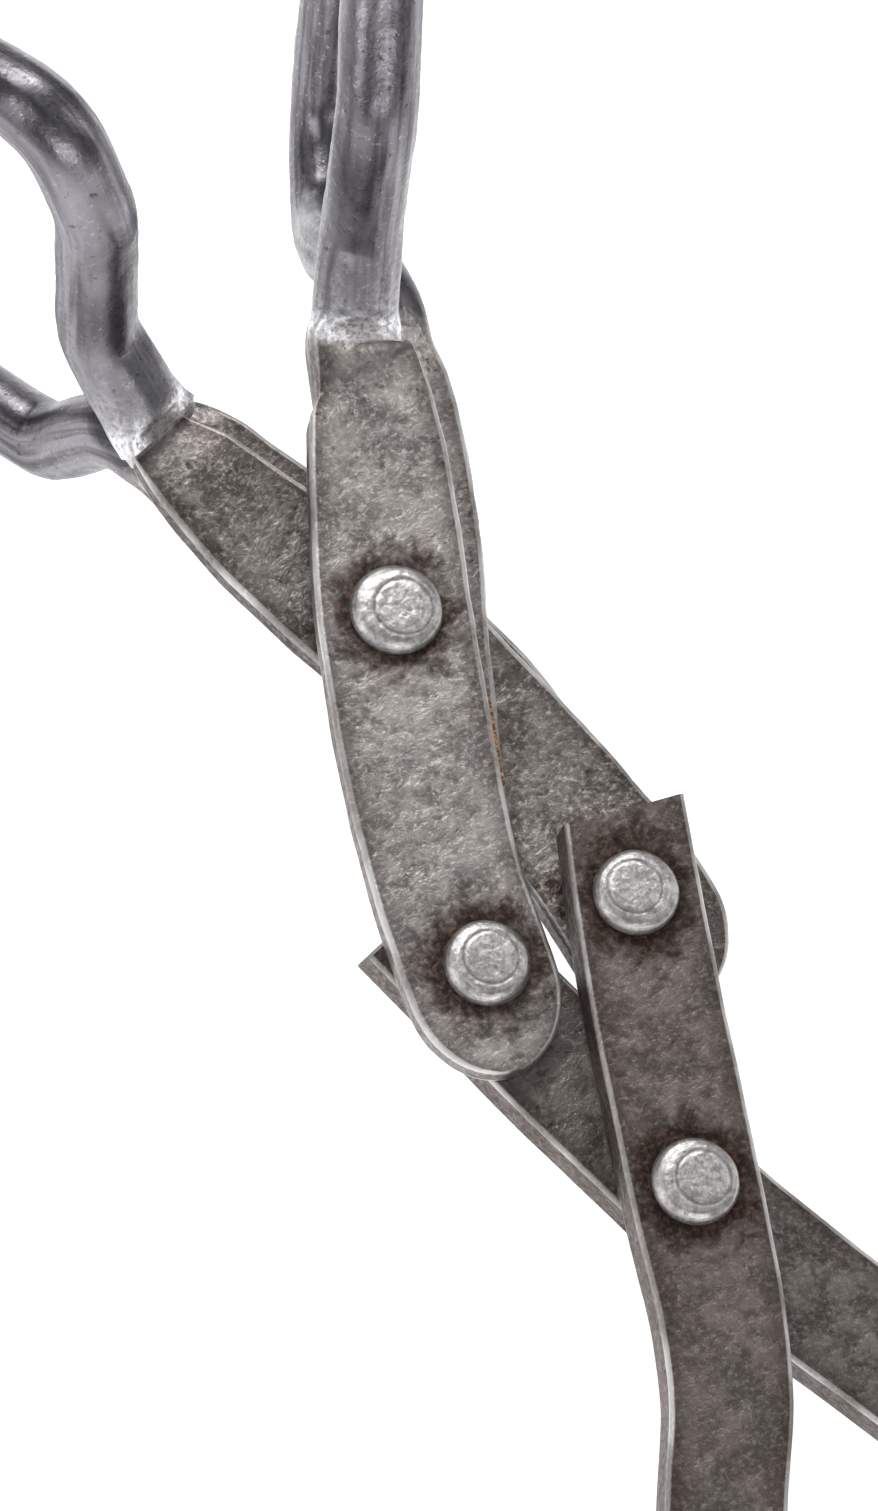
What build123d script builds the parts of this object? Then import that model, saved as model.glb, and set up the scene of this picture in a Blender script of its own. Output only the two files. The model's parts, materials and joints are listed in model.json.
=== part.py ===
from build123d import *
import os
from math import asin, atan2, cos, degrees, radians, sin, sqrt

# Blacksmith's tongs: two forged handles cross on the main rivet and each is pinned to a flat jaw
# bar, and the two jaw bars cross on a fourth rivet, so the four rivets make a kite. Millimetres.
# The tongs are made in their own frame: the main rivet stands on +Z through the origin, +Y runs
# to the hand loops, and the front handle and front jaw are on the +Z side. They are then laid
# down on +Z-up ground, on the two hand loops and the two jaw tips.
# Shapes that differ from one half to the other are keyed by the side their far end leans to:
# 1 for +X (front handle, rear jaw) and -1 for -X (rear handle, front jaw).

# Linkage
upper_link = 57.8  # main rivet to each handle rivet
lower_link = 45.5  # handle rivet to jaw rivet
half_spread = 12.5  # handle rivets from the centre line, at rest
handle_rivet_y = -sqrt(upper_link**2 - half_spread**2)
jaw_rivet_y = handle_rivet_y - sqrt(lower_link**2 - half_spread**2)
closing = 2.0  # degrees the handles turn toward each other before the jaw tips meet

# Bar stock and layers through the thickness
bar_radius = 6.4
arm_thickness = 5.0
lap_thickness = 3.2
jaw_thickness = 8.0
play = 0.2  # between bars that slide on each other
front_lap_back = -lap_thickness
rear_arm_front = front_lap_back - play
rear_arm_back = rear_arm_front - arm_thickness
rear_lap_back = rear_arm_back - lap_thickness
rear_arm_rise = -play - rear_arm_front  # the rear arm steps up to meet the front jaw

# Handle arm: distance out from the centre line, distance along it, and width
arm_stations = {
    1: [
        (15.0, 43.0, 15.4),
        (11.2, 30.0, 20.8),
        (5.6, 15.0, 23.4),
        (0.0, 0.0, 24.6),
        (-6.3, -20.0, 24.6),
        (-11.5, -40.0, 23.8),
        (-14.2, -59.0, 23.6),
    ],
    -1: [
        (18.6, 46.0, 13.0),
        (15.6, 36.0, 16.6),
        (11.5, 25.0, 19.8),
        (5.3, 12.0, 22.8),
        (-0.3, 0.0, 24.2),
        (-6.9, -20.0, 24.8),
        (-12.3, -40.0, 25.0),
        (-14.5, -59.0, 26.0),
    ],
}
arm_end = {1: (-15.9, -73.2), -1: (-15.4, -73.8)}
lap_stations = {
    1: [
        (16.6, 37.0, 22.4),
        (12.7, 24.0, 24.0),
        (7.3, 9.0, 24.4),
        (2.0, -4.4, 24.0),
        (-2.8, -19.0, 22.6),
        (-6.2, -33.0, 18.6),
    ],
    -1: [
        (13.4, 39.0, 20.0),
        (11.2, 33.0, 21.6),
        (7.8, 25.0, 23.2),
        (2.2, 12.0, 24.2),
        (-3.2, 0.0, 24.4),
        (-9.4, -16.0, 23.2),
        (-14.2, -33.0, 18.6),
    ],
}
scarf_start_y = -14.0  # the lap thins from here to its end
scarf_edge = 0.6
rise_start_y = -38.0
rise_end_y = -47.0

# Hand loop: ring of round bar standing across the arm, drawn in the plane that leans out through
# the neck, as distance on from the neck and height
neck = {1: (14.4, 42.6), -1: (17.5, 45.0)}
neck_lean = {1: 25.5, -1: 22.0}
loop_twist = {1: 2.5, -1: -3.5}  # the plane's top leans this much toward -X
neck_length = 11.0  # from the flat of the arm to the round bar
neck_gather = 4.0  # from the neck's deepest section to the round bar
neck_section = (8.0, 5.2)  # half width and half height of that section
loop_bottom = -45.0
loop_start = {1: (1.0, 3.6), -1: (0.0, -4.2)}
loop_corners = {  # with the bend radius at each
    1: [
        (5.5, 3.6, 7.0),
        (14.5, 16.0, 14.0),
        (21.0, 43.0, 12.0),
        (44.0, 60.0, 16.0),
        (77.0, 43.0, 20.0),
        (79.0, -10.0, 22.0),
        (64.0, loop_bottom, 14.0),
        (43.6, loop_bottom, 14.0),
    ],
    -1: [
        (3.6, -4.2, 7.0),
        (15.6, 6.8, 12.0),
        (21.2, 38.6, 16.0),
        (32.2, 53.6, 10.0),
        (62.0, 41.0, 20.0),
        (78.0, 16.0, 22.0),
        (78.0, -18.0, 20.0),
        (60.0, loop_bottom, 14.0),
        (36.0, loop_bottom, 12.0),
        (18.0, -38.3, 10.0),
    ],
}
loop_end = {1: (25.0, -17.1), -1: (10.6, -22.2)}
# Returning bar between the loop's end and the lap: distance on, height, downward slope,
# distance toward +X, half width and half thickness
return_sections = {
    1: [
        (18.0, -8.8, 44.0, 2.2, 7.6, 5.6),
        (10.0, -4.4, 20.0, 3.0, 9.4, 3.6),
        (3.0, -2.5, 8.0, 3.0, 10.6, 2.3),
        (-5.0, -1.6, 0.0, 3.6, 11.2, 1.5),
    ],
    -1: [
        (6.0, -15.2, 50.0, 0.8, 7.6, 5.6),
        (1.0, -12.0, 24.0, 1.4, 8.8, 3.6),
        (-4.0, -10.5, 8.0, 2.0, 9.6, 2.2),
        (-9.0, -10.0, 0.0, 2.2, 9.8, 1.5),
    ],
}

# Jaw bar: distance down from the jaw rivet, distance out to its tip's side, and width
jaw_stations = {
    -1: [
        (-56.4, -17.2, 19.4),
        (-40.2, -11.8, 20.2),
        (-25.2, -7.2, 20.6),
        (-10.2, -3.0, 20.6),
        (4.8, 1.2, 20.4),
        (19.8, 5.4, 19.4),
        (31.8, 10.2, 18.8),
        (43.8, 17.3, 18.4),
        (60.0, 26.0, 18.2),
        (80.0, 31.6, 18.0),
        (98.0, 28.4, 17.2),
        (113.0, 18.8, 15.6),
    ],
    1: [
        (-57.4, -18.2, 19.8),
        (-40.2, -12.3, 20.2),
        (-25.2, -7.2, 20.4),
        (-10.2, -1.9, 20.0),
        (4.8, 3.7, 20.2),
        (19.8, 10.3, 20.8),
        (34.8, 17.9, 20.4),
        (48.0, 24.0, 19.6),
        (62.0, 29.0, 18.6),
        (80.0, 32.0, 18.0),
        (98.0, 28.4, 17.2),
        (113.0, 18.8, 15.6),
    ],
}
grip_heel_down = 126.0
grip_length = 24.0
tip_width = 10.0
heel_width = 13.5
end_skew = {-1: 3.6, 1: 0.0}  # how much longer the jaw's inner edge is than its outer one
crop = 2.4  # the rear jaw's end face leans back this much from its back face to its front face
joggle_start = 66.0
joggle_end = 122.0
tip_half_thickness = 4.0

# Rivets
shank_radius = 4.0
fixed_clearance = 0.02
running_clearance = 0.05
open_pivot_clearance = 0.35
head_radius = 6.7
main_head_radius = 7.3
head_height = 2.7
head_round = 1.6
head_gap = 0.1  # between a head and a bar that turns under it

# Braze left in the corner between an arm's edge and its lap
braze_width = 1.0
braze_height = 1.2
braze_top_y = -17.0
braze_end_y = -31.0

loop_rest_y = 80.0  # where the hand loops touch the ground
loft_inset = 0.1  # keeps the neck's first section inside the flat arm
reach = 300.0  # past the end of everything


def bar_edges(stations):
    """Left and right edge points of a flat bar from its centreline stations."""
    centres = [Vector(x, y) for x, y, width in stations]
    last = len(centres) - 1
    left = []
    right = []
    for i, (x, y, width) in enumerate(stations):
        along = (centres[min(i + 1, last)] - centres[max(i - 1, 0)]).normalized()
        across = Vector(-along.Y, along.X) * (width / 2)
        left.append(centres[i] + across)
        right.append(centres[i] - across)
    return left, right


def placed_stations(stations, side, shift=0.0):
    """Stations as x, y and width from their distances out to one side."""
    return [(side * out + shift, y, width) for out, y, width in stations]


def flat_bar(stations, profile, holes=(), end_arc=None):
    """Flat bar between two edge curves, seen from the front, cut to a side profile of (y, z).

    holes are (x, y, radius)."""
    left, right = bar_edges(stations)
    with BuildPart() as bar:
        with BuildSketch(Plane.XY.offset(-reach)):
            with BuildLine():
                Spline(*left)
                Spline(*right)
                Line(left[0], right[0])
                if end_arc:
                    ThreePointArc(left[-1], end_arc, right[-1])
                else:
                    Line(left[-1], right[-1])
            make_face()
            for x, y, radius in holes:
                with Locations((x, y)):
                    Circle(radius, mode=Mode.SUBTRACT)
        extrude(amount=2 * reach)
        with BuildSketch(Plane.YZ.offset(-reach)):
            with BuildLine():
                Polyline(*profile, close=True)
            make_face()
        extrude(amount=2 * reach, mode=Mode.INTERSECT)
    return bar.part


def loop_plane(side):
    """Plane of a hand loop: its x runs on from the neck, its y up, and its z toward +X."""
    lean = radians(neck_lean[side])
    twist = radians(loop_twist[side])
    onward = (side * sin(lean), cos(lean), 0)
    x, y = neck[side]
    return Plane(
        (side * x, y, 0), x_dir=onward, z_dir=(onward[1] * cos(twist), -onward[0] * cos(twist), sin(twist))
    )


def bar_section(plane, onward, height, slope=0.0, across=0.0):
    """Plane square across a bar that runs along the loop plane, sloping down by slope degrees."""
    along = plane.x_dir * cos(radians(slope)) - plane.y_dir * sin(radians(slope))
    return Plane(plane.from_local_coords((onward, height, across)), x_dir=plane.z_dir, z_dir=along)


def main_hole(side):
    """Hole for the main rivet: tight in the front handle (side 1), free in the rear one."""
    clearance = fixed_clearance if side > 0 else running_clearance
    return (0, 0, shank_radius + clearance)


def arm_bar(side, front, rise):
    """Flat arm, square at the neck, round at the handle rivet, stepping up by rise."""
    back = front - arm_thickness
    profile = [
        (reach, front),
        (rise_start_y, front),
        (rise_end_y, front + rise),
        (-reach, front + rise),
        (-reach, back + rise),
        (rise_end_y, back + rise),
        (rise_start_y, back),
        (reach, back),
    ]
    holes = [main_hole(side), (-side * half_spread, handle_rivet_y, shank_radius + fixed_clearance)]
    end_out, end_y = arm_end[side]
    return flat_bar(placed_stations(arm_stations[side], side), profile, holes, (side * end_out, end_y))


def lap_bar(side, arm_back):
    """Flattened return end of the bar on the back of the arm, scarfed to a thin edge."""
    lap_back = arm_back - lap_thickness
    lap_end_y = lap_stations[side][-1][1]
    profile = [
        (reach, arm_back),
        (lap_end_y - lap_thickness, arm_back),
        (lap_end_y - lap_thickness, arm_back - scarf_edge),
        (lap_end_y, arm_back - scarf_edge),
        (scarf_start_y, lap_back),
        (reach, lap_back),
    ]
    return flat_bar(placed_stations(lap_stations[side], side), profile, [main_hole(side)])


def handle(side, front, rise):
    """One forged handle. front is the height of its front face at the main rivet."""
    middle = front - arm_thickness / 2
    plane = loop_plane(side)
    corners = loop_corners[side]
    start_onward, start_height = loop_start[side]
    end_onward, end_height = loop_end[side]
    end_slope = degrees(atan2(end_height - corners[-1][1], corners[-1][0] - end_onward))
    gathered_width, gathered_height = neck_section

    with BuildPart() as forging:
        add(arm_bar(side, front, rise))
        add(lap_bar(side, front - arm_thickness))

        # Shouldered neck from the flat arm to the round bar
        with BuildSketch(bar_section(plane, start_onward - neck_length, middle)):
            Ellipse(gathered_width, arm_thickness / 2 - loft_inset)
        with BuildSketch(bar_section(plane, start_onward - neck_gather, (middle + start_height) / 2)):
            Ellipse(gathered_width, gathered_height)
        with BuildSketch(bar_section(plane, start_onward, start_height)):
            Circle(bar_radius)
        loft()

        # Returning bar flattened into the lap
        with BuildSketch(bar_section(plane, end_onward, end_height, end_slope)):
            Circle(bar_radius)
        for onward, height, slope, across, half_width, half_thickness in return_sections[side]:
            with BuildSketch(bar_section(plane, onward, height, slope, across)):
                Ellipse(half_width, half_thickness)
        loft()

        # Round bar of the hand loop
        with BuildLine(plane):
            FilletPolyline(
                loop_start[side],
                *[(onward, height) for onward, height, radius in corners],
                loop_end[side],
                radius=[radius for onward, height, radius in corners],
            )
        with BuildSketch(bar_section(plane, start_onward, start_height)):
            Circle(bar_radius)
        sweep()
    return forging.part


def closing_turn():
    """Angle each jaw turns about the jaw rivet while the handles close."""
    handle_half_angle = asin(half_spread / upper_link)
    half_spread_closed = upper_link * sin(handle_half_angle - radians(closing / 2))
    return asin(half_spread / lower_link) - asin(half_spread_closed / lower_link)


def grip_face():
    """Heel and tip of the gripping face at rest, out from the centre line and down from the rivet.

    The two faces lie together once the handles have closed."""
    turn = closing_turn()
    points = []
    for down in (grip_heel_down, grip_heel_down + grip_length):
        points.append((play / 2 + down * sin(turn), down * cos(turn)))
    return points


def braze(side, arm_back):
    """Bead of braze along the arm's +X edge, on the part of the lap that stands out past it."""
    top = arm_back + braze_height
    profile = [(braze_top_y, arm_back), (braze_top_y, top), (braze_end_y, top), (braze_end_y, arm_back)]
    with BuildPart() as bead:
        add(flat_bar(placed_stations(arm_stations[side], side, braze_width), profile))
        add(arm_bar(side, arm_back + arm_thickness, 0.0), mode=Mode.SUBTRACT)
    return bead.part


def rivet(x, y, front, back, radius=head_radius):
    """Rivet with two low crowned heads that bear on the heights front and back."""
    with BuildPart(Plane((x, y, back))) as pin:
        Cylinder(shank_radius, front - back, align=(Align.CENTER, Align.CENTER, Align.MIN))
        with Locations((0, 0, front - back), (0, 0, -head_height)):
            Cylinder(radius, head_height, align=(Align.CENTER, Align.CENTER, Align.MIN))
        rims = pin.edges().filter_by(GeomType.CIRCLE).sort_by(Axis.Z)
        fillet([rims[0], rims[-1]], head_round)
    return pin.part


def jaw(side, top, end_crop, clearances):
    """One jaw bar. side is the side its tip is on: it runs down from the other side.

    top is its front face at the rivets; end_crop is how far its end face leans back from the
    back face to the front face; clearances are for the handle rivet's and jaw rivet's holes."""
    bottom = top - jaw_thickness
    (heel_out, heel_down), (tip_out, tip_down) = grip_face()
    stations = jaw_stations[side] + [(grip_heel_down, heel_out + heel_width / 2, heel_width)]
    left, right = bar_edges([(side * out, jaw_rivet_y - down, width) for down, out, width in stations])
    outer, inner = (right, left) if side < 0 else (left, right)
    skew = (inner[0] - inner[1]).normalized() * (end_skew[side] / 2)
    inner[0] += skew
    outer[0] -= skew
    inner[-1] = Vector(side * heel_out, jaw_rivet_y - heel_down)
    tip_inner = (side * tip_out, jaw_rivet_y - tip_down)
    tip_outer = (side * (tip_out + tip_width), jaw_rivet_y - tip_down)

    joggle_top = jaw_rivet_y - joggle_start
    joggle_foot = jaw_rivet_y - joggle_end
    end = (outer[0] + inner[0]) / 2
    across_end = (outer[0] - inner[0]).normalized()
    end_plane = Plane((end.X, end.Y, bottom), x_dir=across_end.cross(Vector(0, 0, side)), z_dir=across_end)

    with BuildPart() as bar:
        with BuildSketch(Plane.XY.offset(-reach)):
            with BuildLine():
                Line(outer[0], inner[0])
                Spline(*inner, tangents=[inner[1] - inner[0], Vector(*tip_inner) - inner[-1]])
                Line(inner[-1], tip_inner)
                Line(tip_inner, tip_outer)
                Spline(*outer, tip_outer, tangents=[outer[1] - outer[0], (0, -1)])
            make_face()
        extrude(amount=2 * reach)
        # Side view: flat to past the jaw rivet, then joggled to the middle plane
        with BuildSketch(Plane.YZ.offset(-reach)):
            with BuildLine():
                Line((joggle_foot, tip_half_thickness), (-reach, tip_half_thickness))
                Line((-reach, tip_half_thickness), (-reach, -tip_half_thickness))
                Line((-reach, -tip_half_thickness), (joggle_foot, -tip_half_thickness))
                Spline((joggle_foot, -tip_half_thickness), (joggle_top, bottom), tangents=[(1, 0), (1, 0)])
                Line((joggle_top, bottom), (0, bottom))
                Line((0, bottom), (0, top))
                Line((0, top), (joggle_top, top))
                Spline((joggle_top, top), (joggle_foot, tip_half_thickness), tangents=[(-1, 0), (-1, 0)])
            make_face()
        extrude(amount=2 * reach, mode=Mode.INTERSECT)
        if end_crop:
            with BuildSketch(end_plane):
                with BuildLine():
                    Polyline((0, 0), (end_crop, jaw_thickness), (0, jaw_thickness), close=True)
                make_face()
            extrude(amount=reach, both=True, mode=Mode.SUBTRACT)
        with Locations((-side * half_spread, handle_rivet_y)):
            Hole(shank_radius + clearances[0])
        with Locations((0, jaw_rivet_y)):
            Hole(shank_radius + clearances[1])
    return bar.part


pieces = {
    "front_handle": handle(1, arm_thickness, 0.0),
    "rear_handle": handle(-1, rear_arm_front, rear_arm_rise),
    "front_jaw": jaw(-1, jaw_thickness, 0.0, (running_clearance, open_pivot_clearance)),
    "rear_jaw": jaw(1, -play, crop, (running_clearance, fixed_clearance)),
    "main_rivet": rivet(0, 0, arm_thickness, rear_lap_back - head_gap, main_head_radius),
    "front_handle_rivet": rivet(
        -half_spread, handle_rivet_y, arm_thickness, -play - jaw_thickness - head_gap
    ),
    "rear_handle_rivet": rivet(half_spread, handle_rivet_y, jaw_thickness + head_gap, rear_arm_back + rear_arm_rise),
    "jaw_rivet": rivet(0, jaw_rivet_y, jaw_thickness + head_gap, -play - jaw_thickness),
    "front_braze": braze(1, 0.0),
    "rear_braze": braze(-1, rear_arm_back),
}

# Lay the tongs down on the hand loops and the jaw tips, centred over the ground's origin
tip_y = jaw_rivet_y - grip_heel_down - grip_length
rise_to_tips = -tip_half_thickness - (loop_bottom - bar_radius)
tilt = degrees(atan2(rise_to_tips, loop_rest_y - tip_y))
leaning = Compound(children=[piece.rotate(Axis.X, tilt) for piece in pieces.values()]).bounding_box()
bench = Location((-leaning.center().X, -leaning.center().Y, -leaning.min.Z)) * Location((0, 0, 0), (tilt, 0, 0))

os.makedirs("parts", exist_ok=True)
for name, piece in pieces.items():
    placed = piece.moved(bench)
    placed.label = name
    export_step(placed, f"parts/{name}.step")
    print(name, len(placed.solids()), placed.is_valid, round(placed.volume))
print("bench", bench.position, bench.orientation, leaning.size)
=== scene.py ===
import json
from math import ceil, cos, exp, hypot, pi, radians, sin, sqrt, tan

import bmesh
import bpy
from mathutils import Matrix, Vector, noise


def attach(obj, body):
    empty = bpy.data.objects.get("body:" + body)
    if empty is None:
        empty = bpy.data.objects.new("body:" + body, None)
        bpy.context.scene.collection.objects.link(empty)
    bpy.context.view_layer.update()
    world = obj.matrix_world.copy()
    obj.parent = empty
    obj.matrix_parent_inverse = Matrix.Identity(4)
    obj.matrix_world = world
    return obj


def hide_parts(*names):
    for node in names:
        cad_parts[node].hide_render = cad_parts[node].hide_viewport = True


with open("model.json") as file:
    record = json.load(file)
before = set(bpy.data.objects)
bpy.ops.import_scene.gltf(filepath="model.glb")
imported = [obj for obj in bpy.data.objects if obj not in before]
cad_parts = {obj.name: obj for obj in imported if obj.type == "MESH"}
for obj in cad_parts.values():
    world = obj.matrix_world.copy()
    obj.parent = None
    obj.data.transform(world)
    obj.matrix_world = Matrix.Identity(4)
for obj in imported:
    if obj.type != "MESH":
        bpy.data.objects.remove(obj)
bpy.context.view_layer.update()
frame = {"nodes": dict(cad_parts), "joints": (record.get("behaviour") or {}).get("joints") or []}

# ---------------------------------------------------------------------------------------------
# The tongs' own frame, in millimetres: main rivet on the z axis, y towards the hand loops,
# z along the rivets towards the front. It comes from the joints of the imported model.
# ---------------------------------------------------------------------------------------------
MM = 0.001
joints = {joint["name"]: joint for joint in frame["joints"]}
main_pivot = Vector(joints["main_pivot"]["pos_m"])
axis_z = Vector(joints["main_pivot"]["axis"]).normalized()
axis_x = Vector((1, 0, 0))
axis_y = axis_z.cross(axis_x)
TURN = Matrix((axis_x, axis_y, axis_z)).transposed().to_4x4()
TO_ROW = Matrix.Translation(main_pivot) @ TURN @ Matrix.Scale(MM, 4)
TO_TONGS = TO_ROW.inverted()

MAIN = Vector((0, 0))
REAR_JAW_PIN = (TO_TONGS @ Vector(joints["rear_jaw_pivot"]["pos_m"])).xy
FRONT_JAW_PIN = (TO_TONGS @ Vector(joints["front_jaw_pivot"]["pos_m"])).xy
LOWER_LINK = 45.5
JAW_PIN = Vector((0, FRONT_JAW_PIN.y - sqrt(LOWER_LINK**2 - FRONT_JAW_PIN.x**2)))

# Layers through the thickness
ARM_THICKNESS = 5.0
LAP_THICKNESS = 3.2
JAW_THICKNESS = 8.0
PLAY = 0.2
REAR_ARM_FRONT = -LAP_THICKNESS - PLAY
REAR_ARM_BACK = REAR_ARM_FRONT - ARM_THICKNESS
REAR_LAP_BACK = REAR_ARM_BACK - LAP_THICKNESS
REAR_ARM_RISE = -PLAY - REAR_ARM_FRONT
RISE_START_Y = -38.0
RISE_END_Y = -47.0
SEAM_GAP = 0.12

# Shapes that differ from one half to the other are keyed by the side their far end leans to: 1 for
# +X (front handle, rear jaw) and -1 for -X (rear handle, front jaw).

# Handle: distance out from the centre line, distance along it, and width
ARM = {
    1: [
        (15.0, 43.0, 15.4),
        (11.2, 30.0, 20.8),
        (5.6, 15.0, 23.4),
        (0.0, 0.0, 24.6),
        (-6.3, -20.0, 24.6),
        (-11.5, -40.0, 23.8),
        (-14.2, -59.0, 23.6),
    ],
    -1: [
        (18.6, 46.0, 13.0),
        (15.6, 36.0, 16.6),
        (11.5, 25.0, 19.8),
        (5.3, 12.0, 22.8),
        (-0.3, 0.0, 24.2),
        (-6.9, -20.0, 24.8),
        (-12.3, -40.0, 25.0),
        (-14.5, -59.0, 26.0),
    ],
}
ARM_END = {1: Vector((-15.9, -73.2)), -1: Vector((-15.4, -73.8))}
LAP = {
    1: [
        (16.6, 37.0, 22.4),
        (12.7, 24.0, 24.0),
        (7.3, 9.0, 24.4),
        (2.0, -4.4, 24.0),
        (-2.8, -19.0, 22.6),
        (-6.2, -33.0, 18.6),
    ],
    -1: [
        (13.4, 39.0, 20.0),
        (11.2, 33.0, 21.6),
        (7.8, 25.0, 23.2),
        (2.2, 12.0, 24.2),
        (-3.2, 0.0, 24.4),
        (-9.4, -16.0, 23.2),
        (-14.2, -33.0, 18.6),
    ],
}
SCARF_START_Y = -14.0
SCARF_EDGE = 0.6

# Hand loop, in the upright plane that leans out through the neck: distance on, and height
NECK = {1: Vector((14.4, 42.6)), -1: Vector((17.5, 45.0))}
NECK_LEAN = {1: radians(25.5), -1: radians(22.0)}
LOOP_TWIST = {1: radians(2.5), -1: radians(-3.5)}  # the loop's top leans this much toward -X
BAR_RADIUS = 6.4
NECK_SWELL = 2.0  # extra width of the bar where it leaves the arm
LOOP_BOTTOM = -45.0
LOOP_START = {1: (1.0, 3.6), -1: (0.0, -4.2)}
LOOP = {  # with the bend radius at each
    1: [
        (5.5, 3.6, 7.0),
        (14.5, 16.0, 14.0),
        (21.0, 43.0, 12.0),
        (44.0, 60.0, 16.0),
        (77.0, 43.0, 20.0),
        (79.0, -10.0, 22.0),
        (64.0, LOOP_BOTTOM, 14.0),
        (43.6, LOOP_BOTTOM, 14.0),
    ],
    -1: [
        (3.6, -4.2, 7.0),
        (15.6, 6.8, 12.0),
        (21.2, 38.6, 16.0),
        (32.2, 53.6, 10.0),
        (62.0, 41.0, 20.0),
        (78.0, 16.0, 22.0),
        (78.0, -18.0, 20.0),
        (60.0, LOOP_BOTTOM, 14.0),
        (36.0, LOOP_BOTTOM, 12.0),
        (18.0, -38.3, 10.0),
    ],
}
LOOP_END = {1: (25.0, -17.1), -1: (10.6, -22.2)}
# Returning bar: distance on, height, distance toward +X, width, thickness and roundness
RETURN = {
    1: [
        (18.0, -9.0, 2.4, 15.0, 11.4, 0.97),
        (11.0, -5.0, 3.0, 18.0, 7.6, 0.8),
        (4.0, -3.0, 2.8, 20.6, 4.8, 0.4),
    ],
    -1: [
        (6.0, -15.2, 0.8, 15.0, 11.2, 0.95),
        (1.0, -12.2, 1.4, 17.4, 7.2, 0.8),
        (-3.5, -10.9, 2.0, 19.0, 4.6, 0.4),
    ],
}

# Jaw: distance down from the jaw rivet, distance out to its tip's side, and width
JAW = {
    -1: [
        (-56.4, -17.2, 19.4),
        (-40.2, -11.8, 20.2),
        (-25.2, -7.2, 20.6),
        (-10.2, -3.0, 20.6),
        (4.8, 1.2, 20.4),
        (19.8, 5.4, 19.4),
        (31.8, 10.2, 18.8),
        (43.8, 17.3, 18.4),
        (60.0, 26.0, 18.2),
        (80.0, 31.6, 18.0),
        (98.0, 28.4, 17.2),
        (113.0, 18.8, 15.6),
    ],
    1: [
        (-57.4, -18.2, 19.8),
        (-40.2, -12.3, 20.2),
        (-25.2, -7.2, 20.4),
        (-10.2, -1.9, 20.0),
        (4.8, 3.7, 20.2),
        (19.8, 10.3, 20.8),
        (34.8, 17.9, 20.4),
        (48.0, 24.0, 19.6),
        (62.0, 29.0, 18.6),
        (80.0, 32.0, 18.0),
        (98.0, 28.4, 17.2),
        (113.0, 18.8, 15.6),
    ],
}
JAW_TIP = [(126.0, 10.0, 12.5), (136.0, 9.4, 11.4), (149.8, 8.65, 9.7)]
END_SKEW = {-1: 3.6, 1: 0.0}  # how much longer the jaw's inner edge is than its outer one
CROP = {-1: 0.0, 1: 2.4}  # how far the end face leans back from the back face to the front face
JOGGLE_START = 66.0
JOGGLE_END = 122.0

# Rivets
SHANK_RADIUS = 4.0
HEAD_RADIUS = 6.7
MAIN_HEAD_RADIUS = 7.3
RING_SHARE = 0.62  # radius of the header's ring mark, as a share of the head's
RING_DEPTH = 0.14
HEAD_GAP = 0.1

# Radial clearances of the rivet holes
TURNING_FIT = 0.06
SET_FIT = 0.04
OPEN_PIVOT_FIT = 0.35  # the jaw rivet passes freely through the front jaw

# ---------------------------------------------------------------------------------------------
# Camera
# ---------------------------------------------------------------------------------------------
CAMERA_TARGET = Vector((-4.36, -23.81, 5.0))
CAMERA_WAY = Vector((-0.29, -0.246, 1.0)).normalized()
CAMERA_ROLL = radians(26.547)
CAMERA_DISTANCE = 763.0


def make_camera():
    """Camera that looks along the rivets from the front, with the tongs turned on the picture."""
    data = bpy.data.cameras.new("camera")
    data.lens = 119.0
    data.sensor_width = 36.0
    data.clip_start = 0.01
    camera = bpy.data.objects.new("camera", data)
    bpy.context.scene.collection.objects.link(camera)
    turn = TO_ROW.to_3x3().normalized()
    back = (turn @ CAMERA_WAY).normalized()
    right = (turn @ Vector((sin(CAMERA_ROLL), cos(CAMERA_ROLL), 0))).cross(back).normalized()
    up = back.cross(right)
    place = TO_ROW @ (CAMERA_TARGET + CAMERA_WAY * CAMERA_DISTANCE)
    camera.matrix_world = Matrix.Translation(place) @ Matrix((right, up, back)).transposed().to_4x4()
    bpy.context.scene.camera = camera


make_camera()

# ---------------------------------------------------------------------------------------------
# Mesh tools
# ---------------------------------------------------------------------------------------------
FLAT_STEPS = 20  # quads across a bar's wide face
SIDE_STEPS = 5  # across its narrow face
CORNER_STEPS = 4  # round each corner
EDGE_MARGIN = 0.3  # first point of a face in from its corner, so that the bright edge lines of wear and painted highlight stay narrow


class Station:
    """One cross-section of a forged bar: place, size, how round it is and how strongly its neck wear and
    painted highlight show (0 to 1).
    """

    def __init__(self, place, width, thick, roundness, heading, corner=0.9, neck_wear_and_highlight=0.0):
        self.values = [*place, width, thick, roundness, heading[0], heading[1], corner, neck_wear_and_highlight]


def interpolate(stations, step):
    """Stations every step millimetres along a smooth curve through the given ones."""
    rows = [s.values for s in stations]
    before_first = [2 * a - b for a, b in zip(rows[0], rows[1])]
    after_last = [2 * a - b for a, b in zip(rows[-1], rows[-2])]
    rows = [before_first] + rows + [after_last]
    result = []
    for i in range(1, len(rows) - 2):
        p0, p1, p2, p3 = rows[i - 1 : i + 3]
        length = (Vector(p2[:3]) - Vector(p1[:3])).length
        before = max((Vector(p1[:3]) - Vector(p0[:3])).length, 1e-6)
        after = max((Vector(p3[:3]) - Vector(p2[:3])).length, 1e-6)
        count = max(1, ceil(length / step))
        for k in range(count):
            t = k / count
            row = []
            for a, b, c, d in zip(p0, p1, p2, p3):
                # Hermite form, with slopes weighted by the lengths either side
                m1 = ((b - a) / before * length + (c - b) * before / length) * length / (before + length)
                m2 = ((c - b) / length * after + (d - c) / after * length) * length / (after + length)
                h = (2 * t**3 - 3 * t**2 + 1) * b + (t**3 - 2 * t**2 + t) * m1
                h += (-2 * t**3 + 3 * t**2) * c + (t**3 - t**2) * m2
                row.append(h)
            result.append(row)
    result.append(rows[-2])
    return result


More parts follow.
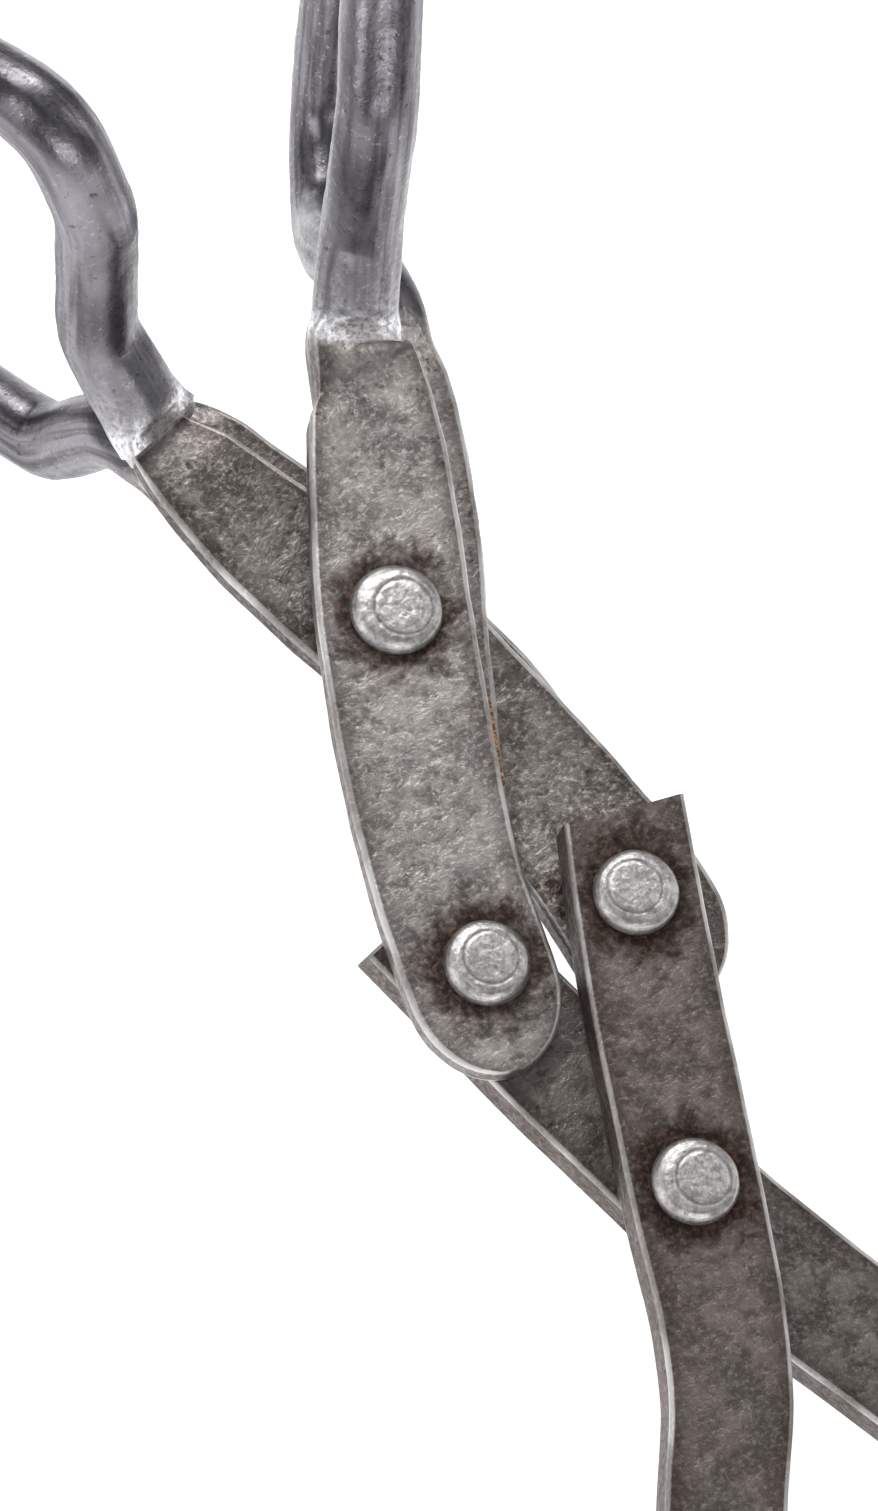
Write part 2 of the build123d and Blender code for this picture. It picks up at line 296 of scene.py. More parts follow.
def spread(k, steps, length):
    """Place of point k of steps along a face, with the end points close to its edges."""
    margin = min(EDGE_MARGIN, length * 0.2)
    return margin + (length - 2 * margin) * k / (steps - 1)


def section_outline(width, thick, roundness, corner):
    """Points of a bar's cross-section as (across, up, edge), where edge is 1 on a corner."""
    corner = min(corner, 0.48 * width, 0.48 * thick)
    a = width / 2 - corner
    b = thick / 2 - corner
    points = []
    sides = [
        ((a, b), (-1, 0), 2 * a, FLAT_STEPS, 0.0),
        ((-a, b), (0, -1), 2 * b, SIDE_STEPS, pi / 2),
        ((-a, -b), (1, 0), 2 * a, FLAT_STEPS, pi),
        ((a, -b), (0, 1), 2 * b, SIDE_STEPS, 3 * pi / 2),
    ]
    for (cx, cy), (dx, dy), length, steps, start in sides:
        for k in range(CORNER_STEPS):
            angle = start + (k + 0.5) / CORNER_STEPS * pi / 2
            points.append((cx + corner * cos(angle), cy + corner * sin(angle), 1.0))
        nx, ny = (0, 1) if dx < 0 else (-1, 0) if dy < 0 else (0, -1) if dx > 0 else (1, 0)
        for k in range(steps):
            along = spread(k, steps, length)
            points.append((cx + dx * along + nx * corner, cy + dy * along + ny * corner, 0.0))
    total = len(points)
    result = []
    for i, (x, y, edge) in enumerate(points):
        angle = 2 * pi * (i - (CORNER_STEPS + FLAT_STEPS / 2)) / total + pi / 2 + pi / total
        rx = width / 2 * cos(angle)
        ry = thick / 2 * sin(angle)
        flat = 1 - roundness
        result.append((x * flat + rx * roundness, y * flat + ry * roundness, edge * flat))
    return result


def forged_bar(name, stations, step, dents, seed, crop=0.0, skew=0.0):
    """Bar swept through its stations, lightly uneven from the hammer, closed at both ends.

    crop leans the first end back from the bar's back face to its front face, and skew is how
    much longer one edge is than the other there."""
    rows = interpolate(stations, step)
    count = len(rows)
    mesh = bmesh.new()
    edge_layer = mesh.verts.layers.float.new("edge")
    round_layer = mesh.verts.layers.float.new("round")
    along_layer = mesh.verts.layers.float.new("along")
    across_layer = mesh.verts.layers.float.new("across")
    rim_layer = mesh.verts.layers.float.new("rim")
    neck_wear_and_highlight_layer = mesh.verts.layers.float.new("neck_wear_and_highlight")
    rings = []
    run = 0.0
    for i, row in enumerate(rows):
        place = Vector(row[:3])
        run += (place - Vector(rows[max(i - 1, 0)][:3])).length
        width, thick, roundness = row[3], row[4], min(max(row[5], 0.0), 1.0)
        tangent = (Vector(rows[min(i + 1, count - 1)][:3]) - Vector(rows[max(i - 1, 0)][:3])).normalized()
        heading = Vector((row[6], row[7], 0)).normalized()
        across = Vector((heading.y, -heading.x, 0))
        up = across.cross(tangent).normalized()
        ring = []
        for x, y, edge in section_outline(width, thick, roundness, row[8]):
            point = place + across * x + up * y
            if i == 0:
                point += tangent * (crop * (0.5 + y / thick) + skew * x / width)
            outward = (across * x / max(width, 1) + up * y / max(thick, 1)).normalized()
            rough = noise.noise(point * 0.11 + Vector((seed, 0, 0))) * 0.6
            rough += noise.noise(point * 0.27 + Vector((0, seed, 0))) * 0.4
            rough += noise.noise(point * 0.7 + Vector((0, 0, seed))) * 0.16
            vert = mesh.verts.new(point + outward * dents * (rough - 0.45))
            vert[edge_layer] = edge
            vert[round_layer] = roundness
            vert[along_layer] = run
            vert[across_layer] = x - y * 1.3
            vert[rim_layer] = max(0.0, 1 - (width / 2 - abs(x)) / 6) * (1 - roundness)
            vert[neck_wear_and_highlight_layer] = row[9]
            ring.append(vert)
        rings.append(ring)
    size = len(rings[0])
    for first, second in zip(rings, rings[1:]):
        for k in range(size):
            mesh.faces.new((first[k], first[(k + 1) % size], second[(k + 1) % size], second[k]))
    mesh.faces.new(reversed(rings[0]))
    mesh.faces.new(rings[-1])
    bmesh.ops.recalc_face_normals(mesh, faces=mesh.faces)
    return finish_mesh(name, mesh)


def finish_mesh(name, mesh, smooth_angle=38.0):
    """Object from a bmesh in the tongs' millimetres, moved to the row's metres."""
    data = bpy.data.meshes.new(name)
    mesh.to_mesh(data)
    mesh.free()
    data.transform(TO_ROW)
    piece = bpy.data.objects.new(name, data)
    bpy.context.scene.collection.objects.link(piece)
    data.shade_smooth()
    data.set_sharp_from_angle(angle=radians(smooth_angle))
    return piece


def drill(piece, holes):
    """Cut round holes along the rivet axis; holes are (place, radius) in millimetres."""
    for place, radius in holes:
        cutter_mesh = bmesh.new()
        bmesh.ops.create_cone(
            cutter_mesh, cap_ends=True, segments=64, radius1=radius, radius2=radius, depth=60,
            matrix=Matrix.Translation((place.x, place.y, 0)),
        )
        cutter = finish_mesh("cutter", cutter_mesh)
        modifier = piece.modifiers.new("hole", "BOOLEAN")
        modifier.operation = "DIFFERENCE"
        modifier.solver = "EXACT"
        modifier.object = cutter
        depsgraph = bpy.context.evaluated_depsgraph_get()
        cut = bpy.data.meshes.new_from_object(piece.evaluated_get(depsgraph))
        piece.modifiers.clear()
        old = piece.data
        piece.data = cut
        cut.name = piece.name
        bpy.data.meshes.remove(old)
        cutter_data = cutter.data
        bpy.data.objects.remove(cutter)
        bpy.data.meshes.remove(cutter_data)


# ---------------------------------------------------------------------------------------------
# Handles
# ---------------------------------------------------------------------------------------------
def plan_heading(points, i):
    """Direction of travel, seen from the front, at one of a list of (x, y) points."""
    ahead = points[min(i + 1, len(points) - 1)]
    behind = points[max(i - 1, 0)]
    way = Vector((ahead[0] - behind[0], ahead[1] - behind[1]))
    return way.normalized()


def rounded_path(corners, radii, step):
    """Points along straight runs joined by arcs of the given radii, one for each inner corner."""
    points = [Vector(corners[0])]
    for before, corner, after, radius in zip(corners, corners[1:], corners[2:], radii):
        corner = Vector(corner)
        way_in = (corner - Vector(before)).normalized()
        way_out = (Vector(after) - corner).normalized()
        turn = way_in.angle(way_out)
        side = 1 if way_in.x * way_out.y - way_in.y * way_out.x > 0 else -1
        start = corner - way_in * radius * tan(turn / 2)
        centre = start + Vector((-way_in.y, way_in.x)) * side * radius
        run = start - points[-1]
        for k in range(1, ceil(run.length / step)):
            points.append(points[-1] + run.normalized() * step)
        steps = ceil(radius * turn / step)
        for k in range(steps + 1):
            angle = side * turn * k / steps
            arm = start - centre
            x = arm.x * cos(angle) - arm.y * sin(angle)
            y = arm.x * sin(angle) + arm.y * cos(angle)
            points.append(centre + Vector((x, y)))
    points.append(Vector(corners[-1]))
    return points


def arm_level(y, front, rise):
    """Height of the arm's middle at y, with its step up towards the handle rivet."""
    share = min(max((RISE_START_Y - y) / (RISE_START_Y - RISE_END_Y), 0.0), 1.0)
    share = share * share * (3 - 2 * share)
    return front - ARM_THICKNESS / 2 + rise * share


def handle_stations(side, front, rise):
    """The whole forging in one run: arm, neck, hand loop, returning bar and lap."""
    back = front - ARM_THICKNESS
    middle = front - ARM_THICKNESS / 2
    arm = list(reversed(ARM[side]))
    stations = []

    # Round end of the arm
    first = Vector((side * arm[0][0], arm[0][1]))
    tip = Vector((side * ARM_END[side].x, ARM_END[side].y))
    way = (first - tip).normalized()
    length = (first - tip).length
    for k in range(1, 12):
        share = 1 - cos(k / 12 * pi / 2)
        place = tip + way * length * share
        width = arm[0][2] * sqrt(1 - (1 - share) ** 2)
        stations.append(Station((*place, arm_level(place.y, front, rise)), width, ARM_THICKNESS, 0.0, way))

    plan = [(side * out, y) for out, y, width in arm]
    for i, (out, y, width) in enumerate(arm):
        heading = plan_heading(plan, i)
        place = (side * out, y, arm_level(y, front, rise))
        stations.append(Station(place, width, ARM_THICKNESS, 0.0, heading))

    onward = Vector((side * sin(NECK_LEAN[side]), cos(NECK_LEAN[side]), 0))
    toward_x = Vector((onward.y, -onward.x, 0))
    upright = Vector((0, 0, cos(LOOP_TWIST[side]))) - toward_x * sin(LOOP_TWIST[side])
    neck = Vector((side * NECK[side].x, NECK[side].y, 0))

    def loop_station(s, z, width, thick, roundness=1.0, corner=0.9, across=0.0, neck_wear_and_highlight=0.0):
        place = neck + onward * s + toward_x * across + upright * z
        return Station(place, width, thick, roundness, onward, corner, neck_wear_and_highlight)

    start, level = LOOP_START[side]
    # The last value on these neck stations sets the bright band of wear and painted highlight
    stations.append(loop_station(start + 0.4, middle + 0.3, 15.2, 6.2, 0.2, 1.4, neck_wear_and_highlight=0.8))
    stations.append(loop_station(start + 2.4, (middle + level) / 2 + 0.4, 15.0, 10.6, 0.75, 3.0, neck_wear_and_highlight=1.0))
    corners = [LOOP_START[side]] + [(on, height) for on, height, radius in LOOP[side]] + [LOOP_END[side]]
    path = rounded_path(corners, [radius for on, height, radius in LOOP[side]], 3.0)
    run = 0.0
    for before, point in zip(path, path[1:]):
        run += (point - before).length
        swell = NECK_SWELL * exp(-run / 14)
        if run > 5:
            stations.append(loop_station(*point, 2 * BAR_RADIUS + swell, 2 * BAR_RADIUS, neck_wear_and_highlight=exp(-run / 5)))
    for on, height, across, width, thick, roundness in RETURN[side]:
        stations.append(loop_station(on, height, width, thick, roundness, 1.2, across))

    # Lap on the back of the arm
    lap_plan = [(side * out, y) for out, y, width in LAP[side]]
    lap_end_y = LAP[side][-1][1]
    for i, (out, y, width) in enumerate(LAP[side]):
        heading = -plan_heading(lap_plan, i)
        share = min(max((SCARF_START_Y - y) / (SCARF_START_Y - lap_end_y), 0.0), 1.0)
        thick = LAP_THICKNESS + (SCARF_EDGE - LAP_THICKNESS) * share
        stations.append(Station((side * out, y, back - SEAM_GAP - thick / 2), width, thick, 0.0, heading))
    return stations


def make_handle(name, side, front, rise, seed):
    """One forged handle with its two rivet holes; front is the height of its arm's front face."""
    pin = REAR_JAW_PIN if side > 0 else FRONT_JAW_PIN
    piece = forged_bar(name, handle_stations(side, front, rise), 1.1, 0.28, seed)
    drill(piece, [(MAIN, SHANK_RADIUS + TURNING_FIT), (pin, SHANK_RADIUS + SET_FIT)])
    return piece


# ---------------------------------------------------------------------------------------------
# Jaws
# ---------------------------------------------------------------------------------------------
def make_jaw(name, side, top, pin, jaw_pin_fit, seed):
    """Jaw bar whose tip is on the given side."""
    middle = top - JAW_THICKNESS / 2
    plan = [(side * out, JAW_PIN.y - down) for down, out, width in JAW[side] + JAW_TIP]
    stations = []
    for i, (down, out, width) in enumerate(JAW[side] + JAW_TIP):
        share = min(max((down - JOGGLE_START) / (JOGGLE_END - JOGGLE_START), 0.0), 1.0)
        level = middle * (1 - share * share * (3 - 2 * share))
        heading = plan_heading(plan, i)
        stations.append(Station((*plan[i], level), width, JAW_THICKNESS, 0.0, heading, 0.7))
    piece = forged_bar(name, stations, 1.4, 0.12, seed, CROP[side], END_SKEW[side])
    drill(piece, [(pin, SHANK_RADIUS + TURNING_FIT), (JAW_PIN, SHANK_RADIUS + jaw_pin_fit)])
    return piece


# ---------------------------------------------------------------------------------------------
# Rivets
# ---------------------------------------------------------------------------------------------
def head_profile(radius):
    """Flattened head from its seat to its centre, as (radius, height)."""
    return [
        (radius * 0.985, 0.0),
        (radius * 1.0, 0.35),
        (radius * 0.985, 0.9),
        (radius * 0.95, 1.45),
        (radius * 0.89, 1.9),
        (radius * 0.8, 2.2),
        (radius * 0.7, 2.38),
        (radius * 0.6, 2.46),
        (radius * 0.5, 2.5),
        (radius * 0.4, 2.52),
        (radius * 0.3, 2.53),
        (radius * 0.2, 2.54),
        (radius * 0.1, 2.54),
    ]


def make_rivet(name, centre, front, back, radius, stamp, seed):
    """Rivet with two hammered heads; stamp is where the header left its ring marks."""
    segments = 96
    profile = head_profile(radius)
    dense = []
    for (r0, z0), (r1, z1) in zip(profile, profile[1:]):
        for k in range(3):
            dense.append((r0 + (r1 - r0) * k / 3, z0 + (z1 - z0) * k / 3))
    dense.append(profile[-1])
    mesh = bmesh.new()
    edge_layer = mesh.verts.layers.float.new("edge")
    ring_layer = mesh.verts.layers.float.new("ring")

    def head(base, way):
        rings = []
        for r, z in dense:
            ring = []
            for k in range(segments):
                angle = 2 * pi * k / segments
                wobble = 1 + 0.022 * noise.noise(Vector((cos(angle) * 1.3, sin(angle) * 1.3, seed)))
                x = r * wobble * cos(angle)
                y = r * wobble * sin(angle)
                gap = hypot(x - stamp.x, y - stamp.y)
                mark = RING_DEPTH * max(0.0, 1 - abs(gap - radius * RING_SHARE) / 0.45)
                mark = mark * (1.0 if z > 2.2 else 0.0)
                rough = 0.10 * noise.noise(Vector((x, y, seed * 3.1)) * 0.55)
                rough += 0.05 * noise.noise(Vector((x, y, seed * 1.7)) * 1.7)
                height = z + (rough - mark if z > 0.5 else 0.0) - 0.06
                vert = mesh.verts.new((centre.x + x, centre.y + y, base + way * max(height, 0.0)))
                vert[edge_layer] = 1.0 if 1.0 < z < 2.3 else 0.0
                vert[ring_layer] = mark * 8
                ring.append(vert)
            rings.append(ring)
        tip = mesh.verts.new((centre.x, centre.y, base + way * 2.46))
        for first, second in zip(rings, rings[1:]):
            for k in range(segments):
                mesh.faces.new((first[k], first[(k + 1) % segments], second[(k + 1) % segments], second[k]))
        for k in range(segments):
            mesh.faces.new((rings[-1][k], rings[-1][(k + 1) % segments], tip))
        return rings[0]

    front_rim = head(front, 1)
    back_rim = head(back, -1)
    shank = []
    for level in (front, back):
        ring = []
        for k in range(segments):
            angle = 2 * pi * k / segments
            x = centre.x + SHANK_RADIUS * cos(angle)
            y = centre.y + SHANK_RADIUS * sin(angle)
            ring.append(mesh.verts.new((x, y, level)))
        shank.append(ring)
    for first, second in ((front_rim, shank[0]), (shank[0], shank[1]), (shank[1], back_rim)):
        for k in range(segments):
            mesh.faces.new((first[k], first[(k + 1) % segments], second[(k + 1) % segments], second[k]))
    bmesh.ops.recalc_face_normals(mesh, faces=mesh.faces)
    return finish_mesh(name, mesh)


# ---------------------------------------------------------------------------------------------
# Materials
# ---------------------------------------------------------------------------------------------
class Nodes:
    """Short calls for building a node tree."""

    def __init__(self, name):
        self.material = bpy.data.materials.new(name)
        self.material.use_nodes = True
        self.tree = self.material.node_tree
        self.shader = self.tree.nodes["Principled BSDF"]
        coords = self.tree.nodes.new("ShaderNodeTexCoord")
        scale = self.tree.nodes.new("ShaderNodeVectorMath")
        scale.operation = "SCALE"
        scale.inputs["Scale"].default_value = 1 / MM
        self.link(coords.outputs["Object"], scale.inputs[0])
        self.place = scale.outputs[0]

    def link(self, source, target):
        self.tree.links.new(source, target)

    def put(self, value, target):
        if isinstance(value, (int, float)):
            target.default_value = value
        elif isinstance(value, tuple):
            target.default_value = (*value, 1.0)
        else:
            self.link(value, target)

    def stretch(self, x, y, z):
        node = self.tree.nodes.new("ShaderNodeVectorMath")
        node.operation = "MULTIPLY"
        self.link(self.place, node.inputs[0])
        node.inputs[1].default_value = (x, y, z)
        return node.outputs[0]

    def noise(self, scale, detail=4.0, rough=0.55, place=None, distortion=0.0):
        node = self.tree.nodes.new("ShaderNodeTexNoise")
        node.inputs["Scale"].default_value = scale
        node.inputs["Detail"].default_value = detail
        node.inputs["Roughness"].default_value = rough
        node.inputs["Distortion"].default_value = distortion
        self.link(place or self.place, node.inputs["Vector"])
        return node.outputs["Fac"]

    def attribute(self, name):
        node = self.tree.nodes.new("ShaderNodeAttribute")
        node.attribute_name = name
        return node.outputs["Fac"]

    def ramp(self, value, low, high, start=0.0, end=1.0):
        node = self.tree.nodes.new("ShaderNodeMapRange")
        node.interpolation_type = "SMOOTHSTEP"
        self.link(value, node.inputs["Value"])
        node.inputs["From Min"].default_value = low
        node.inputs["From Max"].default_value = high
        node.inputs["To Min"].default_value = start
        node.inputs["To Max"].default_value = end
        return node.outputs["Result"]

    def math(self, operation, a, b=0.0):
        node = self.tree.nodes.new("ShaderNodeMath")
        node.operation = operation
        self.put(a, node.inputs[0])
        self.put(b, node.inputs[1])
        return node.outputs[0]

    def mix(self, share, a, b):
        node = self.tree.nodes.new("ShaderNodeMix")
        node.data_type = "RGBA"
        self.put(share, node.inputs["Factor"])
        self.put(a, node.inputs["A"])
        self.put(b, node.inputs["B"])
        return node.outputs["Result"]

    def bump(self, height, distance, strength=1.0, normal=None):
        node = self.tree.nodes.new("ShaderNodeBump")
        self.put(strength, node.inputs["Strength"])
        node.inputs["Distance"].default_value = distance
        self.link(height, node.inputs["Height"])
        if normal:
            self.link(normal, node.inputs["Normal"])
        return node.outputs["Normal"]

    def surface(self, across, along):
        """Coordinates that follow a bar round its bends, in millimetres times these factors."""
        node = self.tree.nodes.new("ShaderNodeCombineXYZ")
        self.link(self.math("MULTIPLY", self.attribute("across"), across), node.inputs["X"])
        self.link(self.math("MULTIPLY", self.attribute("along"), along), node.inputs["Y"])
        return node.outputs["Vector"]

    def distance(self, place):
        """Millimetres, seen along the rivets, from a rivet's centre in the tongs' frame."""
        centre = TO_ROW @ Vector((place.x, place.y, 0))
        offset = self.tree.nodes.new("ShaderNodeVectorMath")
        offset.operation = "SUBTRACT"
        self.link(self.place, offset.inputs[0])
        offset.inputs[1].default_value = centre / MM
        cross = self.tree.nodes.new("ShaderNodeVectorMath")
        cross.operation = "CROSS_PRODUCT"
        self.link(offset.outputs[0], cross.inputs[0])
        cross.inputs[1].default_value = axis_z
        size = self.tree.nodes.new("ShaderNodeVectorMath")
        size.operation = "LENGTH"
        self.link(cross.outputs[0], size.inputs[0])
        return size.outputs["Value"]


def forged_steel(name, pins, dark, mid, light, bar_dark, bar_light):
    """Wire-brushed forged steel, dark scale in the hollows and round the rivets, worn edges and neck with a
    painted highlight on them, and round-bar streaks that are partly painted reflection.
    """
    n = Nodes(name)
    broad = n.noise(0.07, 2.0, 0.5)
    cloud = n.noise(0.30, 5.0, 0.6, distortion=0.3)
    fleck = n.noise(1.1, 5.0, 0.65)
    grain = n.noise(3.2, 4.0, 0.7)
    pits = n.noise(0.6, 4.0, 0.62)
    streak_and_reflection = n.noise(1.0, 3.0, 0.5, place=n.surface(0.42, 0.035))
    scratch = n.noise(1.0, 2.0, 0.5, place=n.stretch(4.5, 0.35, 1.0), distortion=0.8)

    # Flat bar: mottled scale with fine bright flecks and dark pits
    tone = n.math("ADD", n.math("MULTIPLY", broad, 0.4), n.math("MULTIPLY", cloud, 0.6))
    flat = n.mix(n.ramp(tone, 0.40, 0.60), dark, mid)
    flat = n.mix(n.ramp(fleck, 0.44, 0.78, 0.0, 0.6), flat, light)
    flat = n.mix(n.ramp(grain, 0.56, 0.74, 0.0, 0.2), flat, light)
    flat = n.mix(n.ramp(scratch, 0.70, 0.76, 0.0, 0.5), flat, light)
    flat = n.mix(n.ramp(pits, 0.40, 0.24, 0.0, 0.7), flat, (0.06, 0.045, 0.038))

    # Round bar: darker, with lengthwise streaks that are partly drawn-out forging marks and partly painted
    # streaks of reflection
    drawn_and_reflected = n.mix(n.ramp(streak_and_reflection, 0.30, 0.70), bar_dark, bar_light)
    drawn_and_reflected = n.mix(n.ramp(fleck, 0.58, 0.80, 0.0, 0.5), drawn_and_reflected, light)
    drawn_and_reflected = n.mix(n.ramp(pits, 0.40, 0.28, 0.0, 0.7), drawn_and_reflected, (0.05, 0.04, 0.04))
    roundness = n.attribute("round")
    color = n.mix(n.ramp(roundness, 0.3, 0.9), flat, drawn_and_reflected)

    # Bright band where the bar leaves the arm: worn steel with a painted highlight on it
    neck_wear_and_highlight = n.math("MULTIPLY", n.attribute("neck_wear_and_highlight"), n.ramp(fleck, 0.36, 0.56, 0.3, 1.0))
    color = n.mix(neck_wear_and_highlight, color, (0.90, 0.89, 0.92))

    # Soot and rust along the long edges and about each rivet head
    rim = n.ramp(n.math("ADD", n.attribute("rim"), n.math("MULTIPLY", cloud, 0.9)), 0.75, 1.35)
    near = n.math("MULTIPLY", rim, 0.55)
    for pin in pins:
        reach = n.math("ADD", n.distance(pin), n.math("MULTIPLY", cloud, 9.0))
        near = n.math("MAXIMUM", near, n.ramp(reach, 11.6, 18.5, 1.0, 0.0))
    near = n.math("MULTIPLY", near, n.math("SUBTRACT", 1.0, roundness))
    soot = n.mix(n.ramp(fleck, 0.42, 0.66), (0.022, 0.015, 0.012), (0.10, 0.055, 0.038))
    color = n.mix(n.math("MULTIPLY", near, 0.92), color, soot)

    # Thin bright line along the edges, partly worn steel and partly a painted highlight, fading in and out
    edge_wear_and_highlight = n.ramp(broad, 0.38, 0.60, 0.35, 0.85)
    edge = n.math("MULTIPLY", n.ramp(n.attribute("edge"), 0.3, 0.9), edge_wear_and_highlight)
    color = n.mix(edge, color, (0.70, 0.69, 0.68))
    n.link(color, n.shader.inputs["Base Color"])
    n.shader.inputs["Metallic"].default_value = 0.95

    rough = n.ramp(fleck, 0.35, 0.7, 0.50, 0.36)
    rough = n.math("SUBTRACT", rough, n.math("MULTIPLY", roundness, 0.12))
    rough = n.math("ADD", rough, n.math("MULTIPLY", near, 0.12))
    n.link(rough, n.shader.inputs["Roughness"])

    height = n.math("ADD", n.math("MULTIPLY", cloud, 1.3), n.math("MULTIPLY", fleck, 0.45))
    height = n.math("ADD", height, n.math("MULTIPLY", n.ramp(pits, 0.40, 0.24), -0.4))
    height = n.math("ADD", height, n.math("MULTIPLY", grain, 0.12))
    strength = n.ramp(roundness, 0.3, 0.9, 0.8, 0.3)
    n.link(n.bump(height, 0.00035, strength), n.shader.inputs["Normal"])
    return n.material


def rivet_steel():
    """Bright hammered rivet heads, granular, with dark ring marks from the header."""
    n = Nodes("rivet_steel")
    fleck = n.noise(1.0, 5.0, 0.7)
    grain = n.noise(2.6, 5.0, 0.7)
    color = n.mix(n.ramp(fleck, 0.34, 0.62), (0.44, 0.42, 0.41), (0.80, 0.78, 0.77))
    color = n.mix(n.ramp(grain, 0.42, 0.30, 0.0, 0.6), color, (0.20, 0.19, 0.185))
    color = n.mix(n.ramp(n.attribute("ring"), 0.1, 0.9, 0.0, 0.55), color, (0.15, 0.14, 0.14))
    color = n.mix(n.math("MULTIPLY", n.attribute("edge"), 0.35), color, (0.22, 0.21, 0.205))
    n.link(color, n.shader.inputs["Base Color"])
    n.shader.inputs["Metallic"].default_value = 0.95
    n.link(n.ramp(grain, 0.35, 0.7, 0.30, 0.46), n.shader.inputs["Roughness"])
    height = n.math("ADD", n.math("MULTIPLY", fleck, 0.8), n.math("MULTIPLY", grain, 0.4))
    n.link(n.bump(height, 0.0003, 0.4), n.shader.inputs["Normal"])
    return n.material


def braze_metal():
    """Copper-coloured braze, dulled in patches."""
    n = Nodes("braze")
    grain = n.noise(2.2, 5.0, 0.6)
    color = n.mix(n.ramp(grain, 0.4, 0.65), (0.12, 0.06, 0.035), (0.72, 0.40, 0.20))
    n.link(color, n.shader.inputs["Base Color"])
    n.shader.inputs["Metallic"].default_value = 0.9
    n.link(n.ramp(grain, 0.35, 0.7, 0.3, 0.6), n.shader.inputs["Roughness"])
    n.link(n.bump(grain, 0.0003, 0.8), n.shader.inputs["Normal"])
    return n.material


def floor_paint():
    """Lit white sweep that the tongs lie on."""
    n = Nodes("floor")
    n.shader.inputs["Base Color"].default_value = (0.9, 0.9, 0.9, 1.0)
    n.shader.inputs["Roughness"].default_value = 0.9
    n.shader.inputs["Emission Color"].default_value = (1.0, 1.0, 1.0, 1.0)
    n.shader.inputs["Emission Strength"].default_value = 0.75
    return n.material


# ---------------------------------------------------------------------------------------------
# Assembly
# ---------------------------------------------------------------------------------------------
def dress(piece, material, body, node):
    """Give a piece its material, the body it rides on and the CAD node it stands in for."""
    piece.data.materials.clear()
    piece.data.materials.append(material)
    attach(piece, body)
    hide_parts(node)


FRONT_HANDLE = ((0.19, 0.17, 0.16), (0.44, 0.405, 0.385), (0.84, 0.81, 0.79))
# Rear handle: the handle steel darkened with painted shade, where it lies behind the front handle
SHADED_REAR_HANDLE = ((0.10, 0.085, 0.075), (0.26, 0.235, 0.22), (0.62, 0.59, 0.57))
FRONT_JAW = ((0.12, 0.10, 0.092), (0.24, 0.205, 0.19), (0.48, 0.44, 0.42))
REAR_JAW = ((0.10, 0.082, 0.074), (0.24, 0.21, 0.197), (0.46, 0.43, 0.41))
# Round bar tones; the streaks between them are partly painted reflection
ROUND_BAR = ((0.075, 0.07, 0.08), (0.27, 0.26, 0.285))

front_handle = make_handle("front_handle_forging", 1, ARM_THICKNESS, 0.0, 3.1)
rear_handle = make_handle("rear_handle_forging", -1, REAR_ARM_FRONT, REAR_ARM_RISE, 8.4)
front_jaw = make_jaw("front_jaw_bar", -1, JAW_THICKNESS, FRONT_JAW_PIN, OPEN_PIVOT_FIT, 5.2)
rear_jaw = make_jaw("rear_jaw_bar", 1, -PLAY, REAR_JAW_PIN, SET_FIT, 6.6)

forgings = [
    (front_handle, "front_handle", "handle_steel", [MAIN, REAR_JAW_PIN], FRONT_HANDLE),
    (rear_handle, "rear_handle", "handle_steel", [MAIN, FRONT_JAW_PIN], SHADED_REAR_HANDLE),
    (front_jaw, "front_jaw", "jaw_steel", [FRONT_JAW_PIN, JAW_PIN], FRONT_JAW),
    (rear_jaw, "rear_jaw", "jaw_steel", [REAR_JAW_PIN, JAW_PIN], REAR_JAW),
]
for piece, node, slot, pins, tones in forgings:
    dress(piece, forged_steel(node + "_steel", pins, *tones, *ROUND_BAR), node, node)

steel = rivet_steel()
ARM_REAR_UP = REAR_ARM_BACK + REAR_ARM_RISE  # back of the rear handle's raised end
REAR_JAW_BACK = -PLAY - JAW_THICKNESS
LAP_SEAT = REAR_LAP_BACK - HEAD_GAP
JAW_SEAT = REAR_JAW_BACK - HEAD_GAP
FRONT_JAW_TOP = JAW_THICKNESS + HEAD_GAP
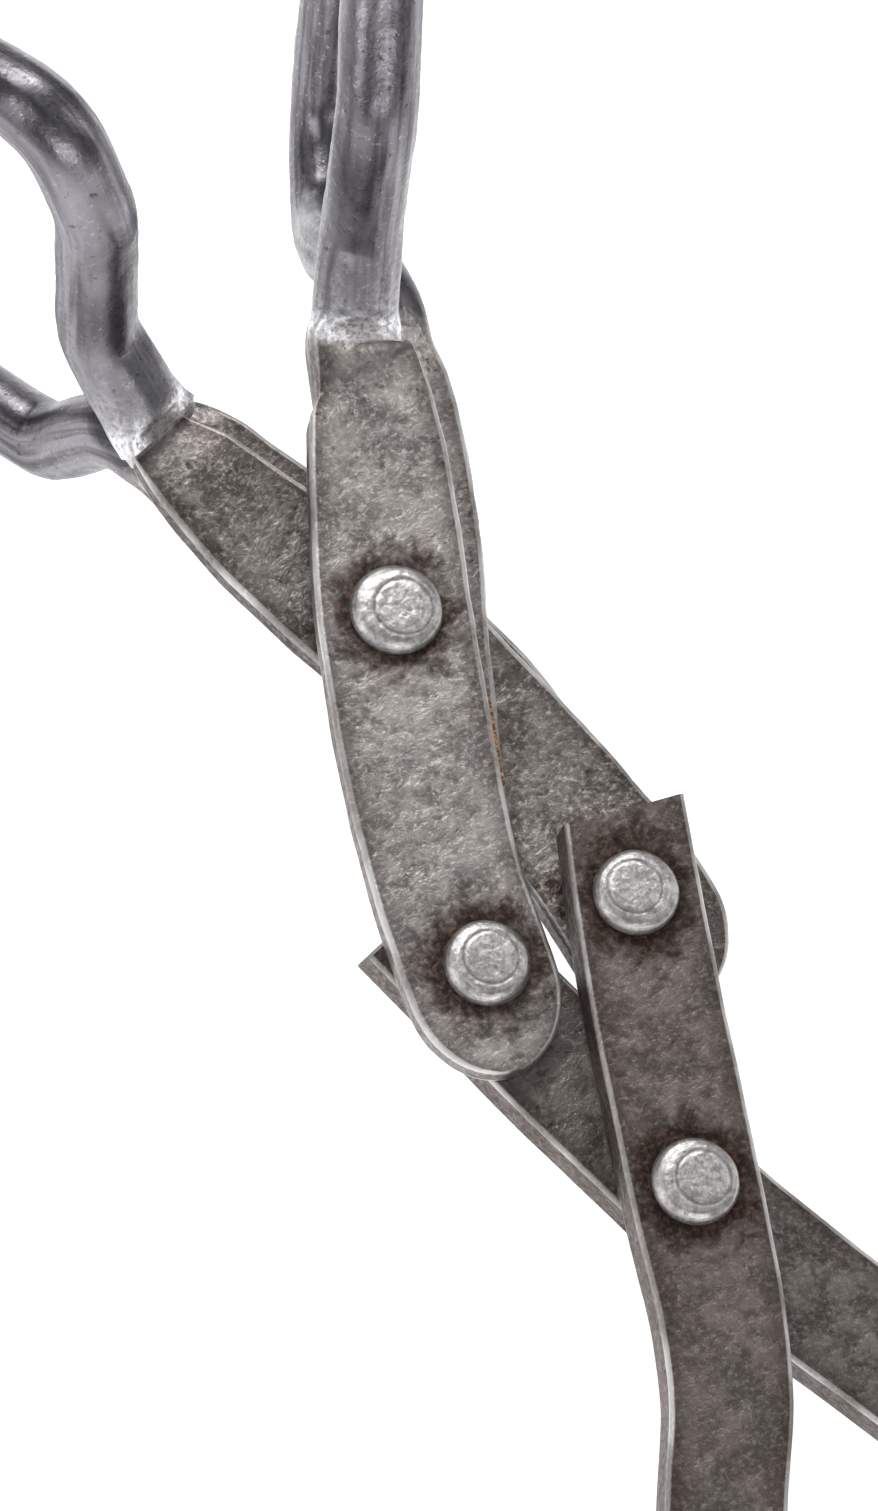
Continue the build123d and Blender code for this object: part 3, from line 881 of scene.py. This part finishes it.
# Rivet, its centre, the heights its two heads bear on, head radius, ring mark's offset, body
rivets = [
    ("main_rivet", MAIN, ARM_THICKNESS, LAP_SEAT, MAIN_HEAD_RADIUS, (0.8, -0.5), "front_handle"),
    ("front_handle_rivet", REAR_JAW_PIN, ARM_THICKNESS, JAW_SEAT, HEAD_RADIUS, (0.4, 0.2), "front_handle"),
    ("rear_handle_rivet", FRONT_JAW_PIN, FRONT_JAW_TOP, ARM_REAR_UP, HEAD_RADIUS, (-0.3, 0.5), "rear_handle"),
    ("jaw_rivet", JAW_PIN, FRONT_JAW_TOP, REAR_JAW_BACK, HEAD_RADIUS, (0.9, -0.2), "rear_jaw"),
]
for i, (node, centre, front, back, radius, stamp, body) in enumerate(rivets):
    piece = make_rivet(node + "_forged", centre, front, back, radius, Vector(stamp), 1.7 + i)
    dress(piece, steel, body, node)

brass = braze_metal()
for node in ("front_braze", "rear_braze"):
    bead = frame["nodes"][node]
    bead.data.materials.clear()
    bead.data.materials.append(brass)


# ---------------------------------------------------------------------------------------------
# Floor and light
# ---------------------------------------------------------------------------------------------
def make_floor():
    """Plane under the tongs."""
    bpy.ops.mesh.primitive_plane_add(size=8)
    floor = bpy.context.object
    floor.name = "floor"
    floor.data.materials.append(floor_paint())


def area_light(name, place, target, size, power):
    """Soft rectangular lamp at a place, turned to face the target."""
    data = bpy.data.lights.new(name, "AREA")
    data.shape = "RECTANGLE"
    data.size, data.size_y = size
    data.energy = power
    light = bpy.data.objects.new(name, data)
    bpy.context.scene.collection.objects.link(light)
    light.location = place
    light.rotation_euler = (Vector(target) - Vector(place)).to_track_quat("-Z", "Y").to_euler()


make_floor()
area_light("top", (0.25, 1.1, 1.3), (0, 0, 0), (1.2, 0.7), 16)
area_light("left", (-1.3, 0.1, 0.9), (0, 0, 0), (0.5, 1.4), 8)
area_light("right", (1.3, -0.3, 1.0), (0, 0, 0), (0.4, 1.4), 4)
area_light("low", (-0.4, -1.4, 0.8), (0, 0, 0), (1.2, 0.5), 9)
world = bpy.data.worlds.new("studio")
bpy.context.scene.world = world
world.use_nodes = True
world.node_tree.nodes["Background"].inputs["Color"].default_value = (1.0, 1.0, 1.0, 1.0)
world.node_tree.nodes["Background"].inputs["Strength"].default_value = 0.18
bpy.context.scene.view_settings.view_transform = "Standard"
